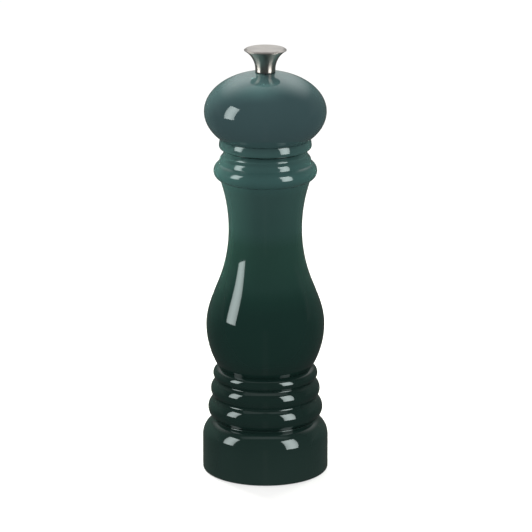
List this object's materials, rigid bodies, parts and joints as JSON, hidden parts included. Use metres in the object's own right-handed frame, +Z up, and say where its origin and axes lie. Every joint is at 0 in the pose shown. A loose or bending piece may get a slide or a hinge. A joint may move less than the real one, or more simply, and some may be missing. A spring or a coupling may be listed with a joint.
{
  "type": "pepper mill",
  "caption": "Table pepper mill: lacquered body with a belly and stacked rings, a round head that turns a ceramic grinder, and a flared steel knob that sets the grind.",
  "frame": {"origin": "middle of the foot, on the surface it stands on", "axes": "+Z up the mill's axis; the mill is round, and the pictured side faces -Y"},
  "size_m": [0.0614, 0.0614, 0.21],
  "materials": {
    "lacquer_body": "glossy lacquer, dark green at the foot, lighter upwards",
    "lacquer_head": "glossy lacquer, slate green",
    "satin_steel": "satin turned stainless steel",
    "steel": "bright stainless steel",
    "spring_steel": "drawn spring steel",
    "ceramic": "fired, unglazed",
    "black_acetal": "moulded, satin",
    "white_acetal": "moulded, satin",
    "liner": "extruded, satin",
    "black_nylon": "punched sheet"
  },
  "bodies": {
    "mill_body": {"base_shell": "lacquer_body", "body_shell": "lacquer_body", "hopper_tube": "liner", "neck_bush": "black_acetal", "grinder_housing": "black_acetal", "stator_burr": "ceramic", "crossbar": "steel", "crossbar_screws": "steel", "housing_screws": "steel"},
    "drive_bush": {"shaft_bush": "white_acetal", "spring": "spring_steel"},
    "drive_shaft": {"drive_shaft": "steel", "rotor_hub": "white_acetal", "rotor_burr": "ceramic", "rotor_washer": "steel", "rotor_clip": "spring_steel"},
    "head": {"head_shell": "lacquer_head", "head_plug": "black_acetal", "drive_plate": "steel", "drive_plate_screws": "steel"},
    "knob_washer": {"knob_washer": "black_nylon"},
    "knob": {"adjusting_knob": "satin_steel", "knob_cap": "satin_steel"}
  },
  "joints": [
    {"name": "grind_turn", "type": "hinge", "parent": "mill_body", "child": "drive_bush", "pos_m": [0, 0, 0.023], "axis": [0, 0, 1], "continuous": true},
    {"name": "shaft_adjust", "type": "slide", "parent": "drive_bush", "child": "drive_shaft", "axis": [0, 0, 1], "range_m": [-0.0015, 0], "deforming": ["spring"]},
    {"name": "head_lift", "type": "slide", "parent": "drive_bush", "child": "head", "axis": [0, 0, 1], "range_m": [0, 0.065]},
    {"name": "knob_turn", "type": "hinge", "parent": "head", "child": "knob_washer", "pos_m": [0, 0, 0.1987], "axis": [0, 0, 1], "range_deg": [0, 540]},
    {"name": "knob_lift", "type": "slide", "parent": "knob_washer", "child": "knob", "axis": [0, 0, 1], "range_m": [0, 0.012]}
  ],
  "couplings": [
    {"joint": "knob_turn", "follows": "shaft_adjust", "rad_per_m": -6283}
  ]
}
